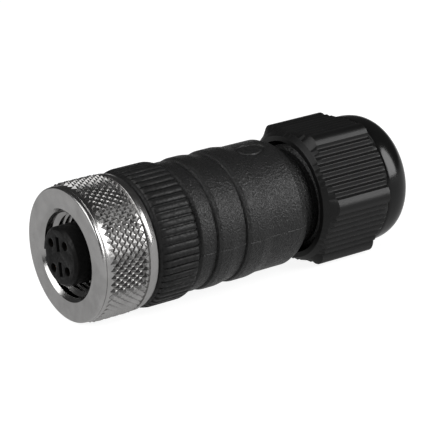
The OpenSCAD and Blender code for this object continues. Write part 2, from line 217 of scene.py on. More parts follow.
def place(obj, body, slot, material, *nodes):
    """Gives a finished piece its material and its body, and hides the CAD nodes that it stands for; the slot is not
    used.
    """
    obj.data.materials.clear()
    obj.data.materials.append(material)
    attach(obj, body)
    if nodes:
        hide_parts(*nodes)
    return obj


# ---- Geometry Nodes -----------------------------------------------------------


def socket(tree, name, kind, default=None, minimum=None):
    """Adds a named input to a node tree."""
    item = tree.interface.new_socket(name=name, in_out="INPUT", socket_type=kind)
    if default is not None:
        item.default_value = default
    if minimum is not None:
        item.min_value = minimum
    return item


def ring_tree():
    """Node tree that stands copies of an object in staggered rings round the X axis."""
    name = "Rings of copies"
    if name in bpy.data.node_groups:
        return bpy.data.node_groups[name]
    tree = bpy.data.node_groups.new(name, "GeometryNodeTree")
    socket(tree, "Geometry", "NodeSocketGeometry")
    socket(tree, "Copy", "NodeSocketObject")
    socket(tree, "Count", "NodeSocketInt", 12, 1)
    socket(tree, "Rows", "NodeSocketInt", 1, 1)
    socket(tree, "First row", "NodeSocketFloat", 0.0)
    socket(tree, "Row pitch", "NodeSocketFloat", 0.001)
    socket(tree, "Radius", "NodeSocketFloat", 0.01)
    socket(tree, "Material", "NodeSocketMaterial")
    tree.interface.new_socket(name="Geometry", in_out="OUTPUT", socket_type="NodeSocketGeometry")
    nodes, link = tree.nodes, tree.links.new
    given = nodes.new("NodeGroupInput")
    result = nodes.new("NodeGroupOutput")

    copies = nodes.new("GeometryNodeObjectInfo")
    link(given.outputs["Copy"], copies.inputs["Object"])

    first = nodes.new("ShaderNodeCombineXYZ")
    link(given.outputs["First row"], first.inputs["X"])
    step = nodes.new("ShaderNodeCombineXYZ")
    link(given.outputs["Row pitch"], step.inputs["X"])
    rows = nodes.new("GeometryNodeMeshLine")
    link(given.outputs["Rows"], rows.inputs["Count"])
    link(first.outputs[0], rows.inputs["Start Location"])
    link(step.outputs[0], rows.inputs["Offset"])

    circle = nodes.new("GeometryNodeMeshCircle")
    link(given.outputs["Count"], circle.inputs["Vertices"])
    link(given.outputs["Radius"], circle.inputs["Radius"])
    upright = nodes.new("GeometryNodeTransform")
    upright.inputs["Rotation"].default_value = (0, math.pi / 2, 0)
    link(circle.outputs["Mesh"], upright.inputs["Geometry"])

    index = nodes.new("GeometryNodeInputIndex")
    odd = nodes.new("ShaderNodeMath")
    odd.operation = "MODULO"
    odd.inputs[1].default_value = 2
    link(index.outputs[0], odd.inputs[0])
    half_step = nodes.new("ShaderNodeMath")
    half_step.operation = "DIVIDE"
    half_step.inputs[0].default_value = math.pi
    link(given.outputs["Count"], half_step.inputs[1])
    stagger = nodes.new("ShaderNodeMath")
    stagger.operation = "MULTIPLY"
    link(odd.outputs[0], stagger.inputs[0])
    link(half_step.outputs[0], stagger.inputs[1])
    turn = nodes.new("ShaderNodeCombineXYZ")
    link(stagger.outputs[0], turn.inputs["X"])
    rings = nodes.new("GeometryNodeInstanceOnPoints")
    link(rows.outputs["Mesh"], rings.inputs["Points"])
    link(upright.outputs["Geometry"], rings.inputs["Instance"])
    link(turn.outputs[0], rings.inputs["Rotation"])
    points = nodes.new("GeometryNodeRealizeInstances")
    link(rings.outputs["Instances"], points.inputs["Geometry"])

    place_node = nodes.new("GeometryNodeInputPosition")
    outwards = nodes.new("ShaderNodeVectorMath")
    outwards.operation = "MULTIPLY"
    outwards.inputs[1].default_value = (0, 1, 1)
    link(place_node.outputs[0], outwards.inputs[0])
    align_up = nodes.new("FunctionNodeAlignRotationToVector")
    align_up.axis = "Z"
    link(outwards.outputs[0], align_up.inputs["Vector"])
    align_x = nodes.new("FunctionNodeAlignRotationToVector")
    align_x.axis = "X"
    align_x.pivot_axis = "Z"
    align_x.inputs["Vector"].default_value = (1, 0, 0)
    link(align_up.outputs[0], align_x.inputs["Rotation"])

    stand = nodes.new("GeometryNodeInstanceOnPoints")
    link(points.outputs["Geometry"], stand.inputs["Points"])
    link(copies.outputs["Geometry"], stand.inputs["Instance"])
    link(align_x.outputs[0], stand.inputs["Rotation"])
    real = nodes.new("GeometryNodeRealizeInstances")
    link(stand.outputs["Instances"], real.inputs["Geometry"])
    both = nodes.new("GeometryNodeJoinGeometry")
    link(real.outputs["Geometry"], both.inputs["Geometry"])
    link(given.outputs["Geometry"], both.inputs["Geometry"])
    paint = nodes.new("GeometryNodeSetMaterial")
    link(both.outputs["Geometry"], paint.inputs["Geometry"])
    link(given.outputs["Material"], paint.inputs["Material"])
    link(paint.outputs["Geometry"], result.inputs["Geometry"])
    return tree


def add_rings(obj, **values):
    """Runs the ring tree on an object and keeps its result as a plain mesh."""
    tree = ring_tree()
    modifier = obj.modifiers.new("Rings", "NODES")
    modifier.node_group = tree
    ids = {item.name: item.identifier for item in tree.interface.items_tree if item.in_out == "INPUT"}
    for name, value in values.items():
        modifier[ids[name.replace("_", " ").capitalize()]] = value
    apply_modifiers(obj)
    bpy.data.objects.remove(values["copy"])
    return obj


# ---- Material helpers -----------------------------------------------------------


class Finish:
    """A node material in the making: a Principled shader and short calls for its details."""

    def __init__(self, name, color, roughness, **fixed):
        self.material = bpy.data.materials.new(name)
        self.material.use_nodes = True
        self.nodes = self.material.node_tree.nodes
        self.link = self.material.node_tree.links.new
        self.shader = self.nodes["Principled BSDF"]
        self.shader.inputs["Base Color"].default_value = (*color, 1)
        self.shader.inputs["Roughness"].default_value = roughness
        for key, value in fixed.items():
            self.shader.inputs[key.replace("_", " ")].default_value = value
        self.place = self.nodes.new("ShaderNodeTexCoord").outputs["Object"]

    def noise(self, scale, detail=3, stretch=(1, 1, 1)):
        """Noise of so many features per metre, stretched along the axes."""
        mapping = self.nodes.new("ShaderNodeMapping")
        mapping.inputs["Scale"].default_value = stretch
        self.link(self.place, mapping.inputs["Vector"])
        noise = self.nodes.new("ShaderNodeTexNoise")
        noise.inputs["Scale"].default_value = scale
        noise.inputs["Detail"].default_value = detail
        self.link(mapping.outputs[0], noise.inputs["Vector"])
        return noise.outputs["Fac"]

    def grains(self, scale):
        """Rounded grains of so many per metre."""
        cells = self.nodes.new("ShaderNodeTexVoronoi")
        cells.inputs["Scale"].default_value = scale
        self.link(self.place, cells.inputs["Vector"])
        return cells.outputs["Distance"]

    def ramp(self, value, low, high, start=0.0, end=1.0):
        """Maps a value from low..high to start..end."""
        node = self.nodes.new("ShaderNodeMapRange")
        node.inputs["From Min"].default_value = low
        node.inputs["From Max"].default_value = high
        node.inputs["To Min"].default_value = start
        node.inputs["To Max"].default_value = end
        self.link(value, node.inputs["Value"])
        return node.outputs["Result"]

    def math(self, operation, a, b):
        """Combines two values."""
        node = self.nodes.new("ShaderNodeMath")
        node.operation = operation
        for slot, value in zip(node.inputs, (a, b)):
            if isinstance(value, (int, float)):
                slot.default_value = value
            else:
                self.link(value, slot)
        return node.outputs[0]

    def along(self):
        """Distance along the connector's axis, in metres."""
        split = self.nodes.new("ShaderNodeSeparateXYZ")
        self.link(self.place, split.inputs[0])
        return split.outputs["X"]

    def roughness(self, value):
        """Drives the roughness."""
        self.link(value, self.shader.inputs["Roughness"])

    def color(self, value, dark, light):
        """Drives the colour between two colours."""
        mix = self.nodes.new("ShaderNodeMix")
        mix.data_type = "RGBA"
        mix.inputs[6].default_value = (*dark, 1)
        mix.inputs[7].default_value = (*light, 1)
        self.link(value, mix.inputs[0])
        self.link(mix.outputs[2], self.shader.inputs["Base Color"])

    def bump(self, value, depth, strength=1.0):
        """Adds relief of so many millimetres."""
        node = self.nodes.new("ShaderNodeBump")
        node.inputs["Strength"].default_value = strength
        node.inputs["Distance"].default_value = depth * MM
        self.link(value, node.inputs["Height"])
        last = self.shader.inputs["Normal"]
        if last.is_linked:
            self.link(last.links[0].from_socket, node.inputs["Normal"])
        self.link(node.outputs[0], last)


def shade(color, factor):
    """A colour made darker or lighter."""
    return tuple(min(1, c * factor) for c in color)


def nickel(look):
    """Nickel plate with fine turning marks."""
    finish = Finish("Nickel plate", look.nickel, 0.2, Metallic=1.0)
    mottle = finish.noise(420, 4)
    lines = finish.noise(900, 2, (14, 1, 1))
    finish.color(finish.ramp(mottle, 0.3, 0.7), shade(look.nickel, 0.86), shade(look.nickel, 1.12))
    finish.roughness(finish.ramp(mottle, 0.3, 0.7, 0.17, 0.27))
    finish.bump(lines, 0.006, 0.35)
    return finish.material


def spark_eroded(name, color, roughness=0.5, depth=0.06, grain=7000, gloss=0.4):
    """Moulded plastic with the fine random texture of a spark-eroded mould."""
    finish = Finish(name, color, roughness, Specular_IOR_Level=gloss)
    coarse = finish.noise(grain * 0.42, 3)
    fine = finish.noise(grain, 2)
    mottle = finish.ramp(coarse, 0.35, 0.65)
    finish.color(mottle, shade(color, 0.6), shade(color, 1.5))
    finish.roughness(finish.ramp(coarse, 0.35, 0.65, roughness + 0.14, roughness - 0.1))
    finish.bump(coarse, depth, 0.6)
    finish.bump(fine, depth * 0.5, 0.5)
    return finish.material


def moulded(name, color, roughness=0.3, depth=0.008):
    """Smooth moulded plastic with faint flow marks."""
    finish = Finish(name, color, roughness, Specular_IOR_Level=0.5)
    flow = finish.noise(320, 3, (0.35, 1, 1))
    finish.color(finish.ramp(flow, 0.3, 0.7), shade(color, 0.85), shade(color, 1.15))
    finish.roughness(finish.ramp(flow, 0.3, 0.7, roughness - 0.05, roughness + 0.06))
    finish.bump(finish.noise(2600, 2), depth, 0.5)
    return finish.material


def rubber(look):
    """Black rubber with a powdery surface."""
    finish = Finish("Seal rubber", look.rubber, 0.62, Specular_IOR_Level=0.35)
    dust = finish.noise(3600, 4)
    finish.color(finish.ramp(dust, 0.35, 0.75), shade(look.rubber, 0.8), shade(look.rubber, 1.5))
    finish.roughness(finish.ramp(dust, 0.3, 0.7, 0.55, 0.75))
    finish.bump(dust, 0.012, 0.5)
    return finish.material


def plated(name, color, roughness=0.24):
    """Plated metal with faint machining marks."""
    finish = Finish(name, color, roughness, Metallic=1.0)
    marks = finish.noise(1500, 3, (6, 1, 1))
    finish.color(finish.ramp(marks, 0.3, 0.7), shade(color, 0.85), shade(color, 1.1))
    finish.roughness(finish.ramp(marks, 0.3, 0.7, roughness - 0.06, roughness + 0.1))
    finish.bump(marks, 0.004, 0.4)
    return finish.material


def gland_gloss(look):
    """Black polyamide that is satin on the hexagon and glossy on the dome."""
    finish = Finish("Gland plastic", look.gland, 0.3, Specular_IOR_Level=0.3)
    flow = finish.noise(300, 3, (0.3, 1, 1))
    dome = finish.ramp(finish.along(), GLAND[1].x - 5.9 * MM, GLAND[1].x - 5.5 * MM, 0.42, 0.17)
    finish.color(finish.ramp(flow, 0.3, 0.7), shade(look.gland, 0.85), shade(look.gland, 1.15))
    finish.roughness(finish.math("ADD", dome, finish.ramp(flow, 0.3, 0.7, -0.03, 0.03)))
    finish.bump(finish.noise(1900, 2), 0.006, 0.4)
    return finish.material


# ---- Properties -------------------------------------------------------------------


def length(name, description, default, **more):
    """A length property, in metres."""
    return bpy.props.FloatProperty(
        name=name, description=description, default=default, unit="LENGTH", precision=5, **more
    )


def tint(name, description, default):
    """A colour property."""
    return bpy.props.FloatVectorProperty(
        name=name, description=description, default=default, subtype="COLOR", size=3, min=0, max=1
    )


class ConnectorSizes(bpy.types.PropertyGroup):
    """Sizes of the details that the finished pieces add."""

    knurl_depth: length("Knurl depth", "Height of the knurl's points", 0.34 * MM)
    knurl_count: bpy.props.IntProperty(name="Knurl points", description="Points round the nut", default=58, min=20)
    knurl_rows: bpy.props.IntProperty(name="Knurl rows", description="Staggered rows of points", default=9, min=1)
    rib_count: bpy.props.IntProperty(name="Ribs", description="Ribs round the collar", default=54, min=12)
    rib_width: length("Rib width", "Width of a rib at its base", 0.94 * MM)
    rib_height: length("Rib height", "Height of a rib", 0.36 * MM)
    coupling_pitch: length("Coupling pitch", "Pitch of the coupling thread", 1.0 * MM)
    neck_pitch: length("Neck pitch", "Pitch of the thread on the neck", 1.5 * MM)
    flute_count: bpy.props.IntProperty(name="Flutes", description="Flutes on each flat", default=8, min=1)
    flute_pitch: length("Flute pitch", "Distance from one flute to the next", 1.06 * MM)
    flute_depth: length("Flute depth", "Depth of the flutes", 0.3 * MM)
    gland_turn: bpy.props.FloatProperty(
        name="Gland turn", description="Turn of the hexagon about the axis", default=0.0, subtype="ANGLE"
    )
    housing_turn: bpy.props.FloatProperty(
        name="Housing turn", description="Turn of the housing about the axis", default=math.radians(12.4), subtype="ANGLE"
    )


class ConnectorColors(bpy.types.PropertyGroup):
    """Colours of the finishes."""

    nickel: tint("Nickel", "Plating of the coupling nut", (0.43, 0.425, 0.42))
    collar: tint("Collar", "Plastic of the ribbed collar", (0.011, 0.011, 0.011))
    housing: tint("Housing", "Plastic of the housing", (0.013, 0.013, 0.013))
    gland: tint("Gland", "Plastic of the gland nut", (0.006, 0.006, 0.006))
    insert: tint("Insert", "Plastic of the insert", (0.012, 0.012, 0.012))
    cage: tint("Cage", "Plastic of the cage and the ring", (0.62, 0.61, 0.57))
    rubber: tint("Rubber", "Rubber of the seals", (0.02, 0.02, 0.02))
    gold: tint("Gold", "Plating of the contacts", (0.85, 0.6, 0.25))
    steel: tint("Steel", "Screws, plates and clip", (0.52, 0.51, 0.5))
    background: tint("Background", "Floor and backdrop", (1.0, 1.0, 1.0))


# ---- Operators --------------------------------------------------------------------


class PieceOperator:
    """What the operators share: access to the sizes and the colours."""

    bl_options = {"REGISTER", "UNDO"}

    @property
    def sizes(self):
        return bpy.context.scene.connector_sizes

    @property
    def colors(self):
        return bpy.context.scene.connector_colors


class AddCouplingNut(PieceOperator, bpy.types.Operator):
    """Turns the nickel-plated coupling nut, with its thread and its knurl."""

    bl_idname = "connector.add_coupling_nut"
    bl_label = "Coupling nut"

    def diamond(self, half_length, half_width, depth):
        """One knurl point: a four-sided pyramid with a small flat top and a sunk skirt."""
        verts = []
        for scale, height in ((1.0, -0.12 * MM), (1.0, 0), (0.14, depth)):
            for x, y in ((1, 0), (0, 1), (-1, 0), (0, -1)):
                verts.append((x * half_length * scale, y * half_width * scale, height))
        sides = [(k * 4 + q, k * 4 + (q + 1) % 4, k * 4 + (q + 1) % 4 + 4, k * 4 + q + 4) for k in (0, 1) for q in range(4)]
        return mesh_object("Knurl point", verts, [*sides, (8, 9, 10, 11), (3, 2, 1, 0)], 1)

    def execute(self, context):
        sizes = self.sizes
        front, rear = NUT[0].x / MM, NUT[1].x / MM
        crest = NUT[1].z / MM
        root = crest - sizes.knurl_depth / MM
        knurl_start, knurl_end = front + 1.2, rear - 1.45
        bore, mouth = 6.05, 6.6
        body = turned(
            "Coupling nut",
            [
                (front, mouth, 0.06),
                (front, 9.5, 0.38),
                (front + 0.52, 9.5, 0.04),
                (front + 0.58, 9.38, 0.02),
                (front + 0.64, 9.54, 0.05),
                (knurl_start, 9.54, 0.06),
                (knurl_start, root - 0.02),
                (knurl_end, root - 0.02),
                (knurl_end, crest - 0.1, 0.07),
                (knurl_end + 0.55, crest - 0.1, 0.3),
                (rear, 9.46, 0.14),
                (rear, 4.85, 0.06),
                (rear - 0.95, 4.85, 0.06),
                (rear - 0.95, bore, 0.15),
                (front + 0.9, bore, 0.05),
                (front + 0.55, mouth - 0.55, 0.05),
            ],
            columns=232,
        )
        row_pitch = (knurl_end - knurl_start) * MM / (sizes.knurl_rows + 1)
        half_width = math.pi * root * MM / sizes.knurl_count
        point = self.diamond(row_pitch, half_width, crest * MM - root * MM)
        metal = nickel(self.colors)
        add_rings(
            body,
            copy=point,
            count=sizes.knurl_count,
            rows=sizes.knurl_rows,
            first_row=knurl_start * MM + row_pitch,
            row_pitch=row_pitch,
            radius=root * MM,
            material=metal,
        )
        pitch = sizes.coupling_pitch / MM
        ridge = thread("Nut thread", bore, 5.46, front + 1.1, rear - 1.7, pitch)
        nut = joined("coupling_nut_finished", body, ridge)
        place(nut, "coupling_nut", "nickel_plate", metal, "coupling_nut")
        return {"FINISHED"}


class AddInsert(PieceOperator, bpy.types.Operator):
    """Finishes the insert, its seal, the spring clip and the contacts."""

    bl_idname = "connector.add_insert"
    bl_label = "Insert and contacts"

    def execute(self, context):
        plastic = spark_eroded("Insert plastic", shade(self.colors.insert, 0.35), 0.42, 0.012, 7000, 0.15)
        insert = dressed_copy("contact_insert_finished", "contact_insert", 0.06)
        place(insert, "front_part", "insert_plastic", plastic, "contact_insert")
        seal = dressed_copy("mating_seal_finished", "mating_seal", 0)
        place(seal, "front_part", "seal_rubber", rubber(self.colors), "mating_seal")
        clip = dressed_copy("nut_clip_finished", "nut_retaining_clip", 0.07)
        steel = plated("Spring steel", shade(self.colors.steel, 0.8), 0.3)
        place(clip, "front_part", "spring_steel", steel, "nut_retaining_clip")
        gold = plated("Contact gold", self.colors.gold, 0.22)
        for number in range(1, 5):
            contact = dressed_copy(f"contact_{number}_finished", f"contact_{number}", 0.05)
            place(contact, "front_part", "contact_gold", gold, f"contact_{number}")
        return {"FINISHED"}


class AddTerminals(PieceOperator, bpy.types.Operator):
    """Finishes the terminal screws and the plates under them."""

    bl_idname = "connector.add_terminals"
    bl_label = "Terminal screws and plates"

    def execute(self, context):
        bright = plated("Screw steel", self.colors.steel, 0.26)
        dull = plated("Plate steel", shade(self.colors.steel, 0.85), 0.34)
        for number in range(1, 5):
            screw = dressed_copy(f"terminal_screw_{number}_finished", f"terminal_screw_{number}", 0.06)
            place(screw, f"terminal_screw_{number}", "screw_steel", bright, f"terminal_screw_{number}")
            plate = dressed_copy(f"wire_plate_{number}_finished", f"wire_plate_{number}", 0.04)
            place(plate, f"screw_travel_{number}", "plate_steel", dull, f"wire_plate_{number}")
        return {"FINISHED"}


class AddCollar(PieceOperator, bpy.types.Operator):
    """Moulds the ribbed collar and its threaded spigot, with the housing seal."""

    bl_idname = "connector.add_collar"
    bl_label = "Grip collar"

    def rib(self, length_mm, width, height):
        """One rib: a bar with sloping sides and rounded ends."""
        half = length_mm * MM / 2
        nose = 0.5 * MM
        levels = [(half, width / 2, -0.45 * MM, 0), (half, width / 2, 0, 0.3)]
        levels += [(half - 0.2 * MM, width * 0.42, height * 0.75, 0.8), (half - 0.55 * MM, width * 0.33, height, 1)]
        verts = [
            (sx * x + (nose * share if sx < 0 else 0), sy * y, z)
            for x, y, z, share in levels
            for sx, sy in ((-1, -1), (1, -1), (1, 1), (-1, 1))
        ]
        top = 4 * (len(levels) - 1)
        faces = [
            (k * 4 + q, k * 4 + (q + 1) % 4, k * 4 + (q + 1) % 4 + 4, k * 4 + q + 4)
            for k in range(len(levels) - 1)
            for q in range(4)
        ]
        return mesh_object("Rib", verts, [*faces, (top, top + 1, top + 2, top + 3), (3, 2, 1, 0)], 60)

    def execute(self, context):
        sizes = self.sizes
        front = COLLAR[0].x / MM
        rear = HOUSING[0].x / MM - 0.2
        end = COLLAR[1].x / MM
        crest = COLLAR[1].z / MM
        root = crest - sizes.rib_height / MM
        groove, spigot = 6.75, 7.34
        body = turned(
            "Grip collar",
            [
                (front, 4.8, 0.08),
                (front, root - 0.1, 0.8),
                (front + 1.3, root, 0.4),
                (rear - 0.3, root, 0.12),
                (rear, root - 0.4, 0.05),
                (rear, groove, 0.1),
                (HOUSING[0].x / MM + 1.25, groove, 0.1),
                (HOUSING[0].x / MM + 1.25, spigot - 0.55, 0.05),
                (end - 0.3, spigot - 0.55, 0.1),
                (end, spigot - 0.8, 0.05),
                (end, 6.05, 0.08),
                (front + 1.9, 6.05, 0.1),
                (front + 1.9, 4.8, 0.06),
            ],
            columns=216,
        )
        start = front + 0.45
        rib = self.rib(rear - 0.06 - start, sizes.rib_width, sizes.rib_height)
        plastic = spark_eroded("Collar plastic", self.colors.collar, 0.46, 0.08, 6000, 0.27)
        add_rings(
            body,
            copy=rib,
            count=sizes.rib_count,
            rows=1,
            first_row=(start + rear - 0.06) / 2 * MM,
            row_pitch=MM,
            radius=root * MM,
            material=plastic,
        )
        ridge = thread("Spigot thread", spigot - 0.55, spigot, HOUSING[0].x / MM + 1.6, end - 0.4, 1.0)
        collar = joined("grip_collar_finished", body, ridge)
        place(collar, "front_part", "collar_plastic", plastic, "grip_collar")
        seal = dressed_copy("housing_seal_finished", "housing_seal", 0)
        place(seal, "collar_travel", "seal_rubber", rubber(self.colors), "housing_seal")
        return {"FINISHED"}


class AddHousing(PieceOperator, bpy.types.Operator):
    """Moulds the housing with its ring grooves, parting lines, oval panel and neck."""

    bl_idname = "connector.add_housing"
    bl_label = "Housing"

    def execute(self, context):
        turn = self.sizes.housing_turn
        x0, x1 = HOUSING[0].x / MM, HOUSING[1].x / MM
        line_1, line_2, rear = x0 + 3.15, x0 + 8.05, x1 - 9.8
        neck, bore = 7.04, 6.5
        corners = [
            (x0, 7.95, 0.08),
            (x0, 8.85, 0.15),
            (x0 + 0.6, 9.28, 0.3),
            (line_1 - 1.1, 9.3, 0.5),
            (line_1 - 0.12, 9.06, 0.05),
            (line_1, 8.98, 0.04),
            (line_1 + 0.12, 9.34, 0.08),
            (line_1 + 0.7, 9.5, 0.5),
            (line_1 + 2.4, 9.5, 2.0),
            (line_2 - 0.9, 9.24, 1.2),
            (line_2 - 0.12, 9.12, 0.05),
            (line_2, 8.95, 0.04),
            (line_2 + 0.12, 9.34, 0.08),
            (line_2 + 0.7, 9.5, 0.5),
            (line_2 + 2.9, 9.5, 2.0),
            (line_2 + 4.6, 9.21, 2.0),
            (rear - 1.75, 9.2, 0.1),
            (rear - 0.4, 8.65, 0.9),
            (rear, 7.9, 0.35),
            (rear, neck + 0.12, 0.2),
            (rear + 1.6, neck + 0.12, 0.05),
            (rear + 1.9, neck, 0.1),
            (x1 - 0.35, neck, 0.1),
            (x1, neck - 0.3, 0.1),
            (x1, bore, 0.12),
            (rear - 0.6, bore, 0.2),
            (rear - 1.6, 7.7, 0.3),
            (x0 + 5.3, 7.7, 0.2),
            (x0 + 5.0, 7.45, 0.05),
            (x0 + 5.0, 7.98, 0.05),
            (x0 + 1.6, 7.98, 0.05),
            (x0 + 1.5, 7.95, 0.05),
        ]
        outline = fillet(corners)
        panel_x, panel_half = rear - 4.9, 2.4
        outline = self.refined(outline, panel_x - panel_half - 0.3, panel_x + panel_half + 0.3, 0.12)
        outline = self.refined(outline, x0 + 0.4, line_1 - 0.3, 0.25)
        angles = self.angles(turn)
        radius = np.repeat(outline[:, 1][:, None], len(angles), axis=1)
        outside = outline[:, 1] > 8.6
        self.carve_panel(radius, outline, angles, outside, turn, panel_x, panel_half)
        self.raise_parting(radius, outline, angles, outside, turn)
        body = shell("Housing", outline[:, 0], radius, angles, 30)
        inner = thread("Housing thread", 7.98, 7.46, x0 + 2.1, x0 + 4.6, 1.0)
        outer = thread("Neck thread", neck, 7.78, rear + 2.7, x1 - 1.0, self.sizes.neck_pitch / MM)
        housing = joined("housing_finished", body, inner, outer)
        plastic = spark_eroded("Housing plastic", self.colors.housing, 0.34, 0.22, 7600, 0.37)
        place(housing, "rear_part", "housing_plastic", plastic, "housing_sleeve")
        return {"FINISHED"}

    def refined(self, outline, low, high, step):
        """Adds rings where the outer wall runs from low to high."""
        result = []
        for here, ahead in zip(outline, np.roll(outline, -1, axis=0)):
            result.append(here)
            if here[1] < 8.6 or ahead[1] < 8.6:
                continue
            span = ahead - here
            if ahead[0] <= low or here[0] >= high or span[0] <= step:
                continue
            count = int(span[0] / step)
            result.extend(here + span * k / count for k in range(1, count))
        return np.array(result)

    def angles(self, turn):
        """Angles round the axis, closer together at the oval panel and at the parting lines."""
        coarse = np.radians(np.arange(0, 360, 2.0))
        panel = np.radians(np.arange(-15, 15.01, 0.55)) + math.pi / 2
        seams = [np.radians(np.arange(-1.2, 1.21, 0.2)) + side for side in (0, math.pi)]
        every = np.concatenate([coarse, panel, *seams])
        every = np.unique(np.round(np.mod(every + turn, TAU), 5))
        return every[np.append(np.diff(every) > 1e-3, True)]

    def carve_panel(self, radius, outline, angles, outside, turn, panel_x, half_length):
        """Sinks the border of the plain oval panel."""
        half_width, border, depth = 1.7, 0.34, 0.22
        across = 9.2 * (np.mod(angles - turn - math.pi / 2 + math.pi, TAU) - math.pi)
        along = outline[:, 0][:, None] - panel_x
        edge = np.hypot(along / half_length, across[None, :] / half_width)
        inside = np.clip((1 - edge) * half_width / 0.12, 0, 1)
        middle = np.clip((1 - edge) * half_width / 0.12 - border / 0.12, 0, 1)
        radius -= np.where(outside[:, None], depth * (inside - 0.75 * middle), 0)

    def raise_parting(self, radius, outline, angles, outside, turn):
        """Raises the fine flash lines where the mould halves met."""
        for side in (0, math.pi):
            across = 9.2 * (np.mod(angles - turn - side + math.pi, TAU) - math.pi)
            ridge = np.clip(1 - np.abs(across) / 0.1, 0, 1)
            front = np.clip((HOUSING[0].x / MM + 1.7 - outline[:, 0]) / 0.5, 0, 1)
            height = 0.05 + 0.06 * front
            radius += np.where(outside[:, None], ridge[None, :] * height[:, None], 0)


class AddClamp(PieceOperator, bpy.types.Operator):
    """Finishes the clamping cage, the cable seal and the pressure ring."""

    bl_idname = "connector.add_clamp"
    bl_label = "Cable clamp"

    def execute(self, context):
        pale = moulded("Cage plastic", self.colors.cage, 0.36, 0.01)
        cage = dressed_copy("clamp_cage_finished", "clamp_cage", 0.12)
        place(cage, "rear_part", "cage_plastic", pale, "clamp_cage")
        x0, x1 = SEAL[0].x / MM, SEAL[1].x / MM
        outer = SEAL[1].z / MM
        bore = 3.3
        corners = [(x0, bore + 0.5, 0.3), (x0, outer - 0.2, 0.3), (x0 + 0.6, outer, 0.2)]
        grooves = 4
        pitch = (x1 - x0 - 1.6) / grooves
        for k in range(grooves):
            at = x0 + 0.8 + pitch * (k + 0.5)
            corners += [(at - 0.3, outer, 0.08), (at - 0.12, outer - 0.25, 0.08), (at + 0.12, outer - 0.25, 0.08)]
            corners += [(at + 0.3, outer, 0.08)]
        corners += [(x1 - 0.6, outer, 0.2), (x1, outer - 0.2, 0.3), (x1, bore + 0.5, 0.3), (x1 - 0.4, bore, 0.2)]
        corners += [(x0 + 0.4, bore, 0.2)]
        seal = turned("cable_seal_finished", corners, 96)
        place(seal, "rear_part", "seal_rubber", rubber(self.colors), "cable_seal")
        x0, x1 = RING[0].x / MM, RING[1].x / MM
        outer = RING[1].z / MM
        ring = turned(
            "pressure_ring_finished", [(x0, 4.4, 0.2), (x0, outer, 0.12), (x1, outer, 0.12), (x1, 4.4, 0.2)], 128
        )
        place(ring, "gland_travel", "cage_plastic", pale, "pressure_ring")
        return {"FINISHED"}


class AddGlandNut(PieceOperator, bpy.types.Operator):
    """Moulds the gland nut: a fluted hexagon with round corners that runs into a dome."""

    bl_idname = "connector.add_gland_nut"
    bl_label = "Gland nut"

    def outline(self, flat, corner):
        """Points of the fluted hexagon, in millimetres, in order round the axis."""
        sizes = self.sizes
        pitch, depth = sizes.flute_pitch / MM, sizes.flute_depth / MM
        land = 0.07 * pitch
        side = []
        for k in range(sizes.flute_count):
            middle = (k - (sizes.flute_count - 1) / 2) * pitch
            half = pitch / 2 - land / 2
            for share, sink in ((-1, 0), (-0.9, 0.13), (-0.5, 0.58), (-0.12, 0.96), (0, 1)):
                side.append((flat - depth * sink, middle + half * share))
            for share, sink in ((0.12, 0.96), (0.5, 0.58), (0.9, 0.13), (1, 0)):
                side.append((flat - depth * sink, middle + half * share))
        centre = (flat - corner) / math.cos(math.pi / 6)
        steps = 10
        for k in range(steps + 1):
            a = math.pi / 3 * k / steps
            side.append(
                (
                    centre * math.cos(math.pi / 6) + corner * math.cos(a),
                    centre * math.sin(math.pi / 6) + corner * math.sin(a),
                )
            )
        side = np.array(side)
        radius, angle = np.hypot(*side.T), np.arctan2(side[:, 1], side[:, 0])
        turns = np.pi / 3 * np.arange(6)[:, None] + math.pi / 6 * 0
        return np.tile(radius, 6), (angle[None, :] + turns).ravel() + math.pi / 2 + sizes.gland_turn

    def execute(self, context):
        x0, x1 = GLAND[0].x / MM, GLAND[1].x / MM
        flat, corner = 9.54, 1.5
        hex_end = x1 - 5.6
        dome_x, dome_r, hole = hex_end + 0.75, 9.38, 4.2
        hex_radius, angles = self.outline(flat, corner)
        point = hex_radius.max()
        front = fillet([(0, 8.6), (0, 8.95, 0.1), (0.75, 9.5, 0.2), (1.62, point + 0.1, 0.2), (3, point + 0.1)], 6)[1:-1]
        rear = fillet([(-3, point + 0.1), (-0.8, point + 0.1, 0.3), (0.05, dome_r - 0.04, 0.2), (0.3, dome_r - 0.12)], 6)
        stations, radii = [], []

        def add(x, r):
            stations.append(x)
            radii.append(np.broadcast_to(r, hex_radius.shape))

        add(x0, 8.2)
        add(x0, 8.9)
        for x, r in front:
            add(x0 + x, np.minimum(hex_radius, r))
        for x in np.arange(x0 + 2.4, hex_end - 1.4, 1.0):
            add(x, hex_radius)
        for x, r in rear[1:-1]:
            add(hex_end + x, np.minimum(hex_radius, r))
        steps, power, end = 26, 2.45, x1 - 0.1
        add(hex_end + 0.12, dome_r - 0.13)
        add(hex_end + 0.22, dome_r - 0.05)
        add(hex_end + 0.4, dome_r)
        for k in range(steps):
            t = math.sin(math.pi / 2 * k / steps)
            r = hole + (dome_r - hole) * (1 - t**power) ** (1 / power)
            add(dome_x + (end - dome_x) * t, r)
        inside = fillet(
            [(end, hole + 0.6), (x1 - 0.6, hole, 0.3), (x1 - 2.1, hole, 0.1), (x1 - 2.1, 6.1, 0.2)]
            + [(x0 + 10.1, 7.8, 0.3), (x0 + 8.1, 8.45, 0.2), (x0 + 0.9, 8.45, 0.1), (x0, 8.75)],
            4,
        )
        for x, r in inside[1:-1]:
            add(x, r)
        body = shell("Gland nut", stations, np.array(radii), angles, 28)
        ridge = thread("Gland thread", 8.45, 7.92, x0 + 1.4, x0 + 7.4, self.sizes.neck_pitch / MM)
        gland = joined("gland_nut_finished", body, ridge)
        place(gland, "gland_nut", "gland_plastic", gland_gloss(self.colors), "gland_nut")
        return {"FINISHED"}


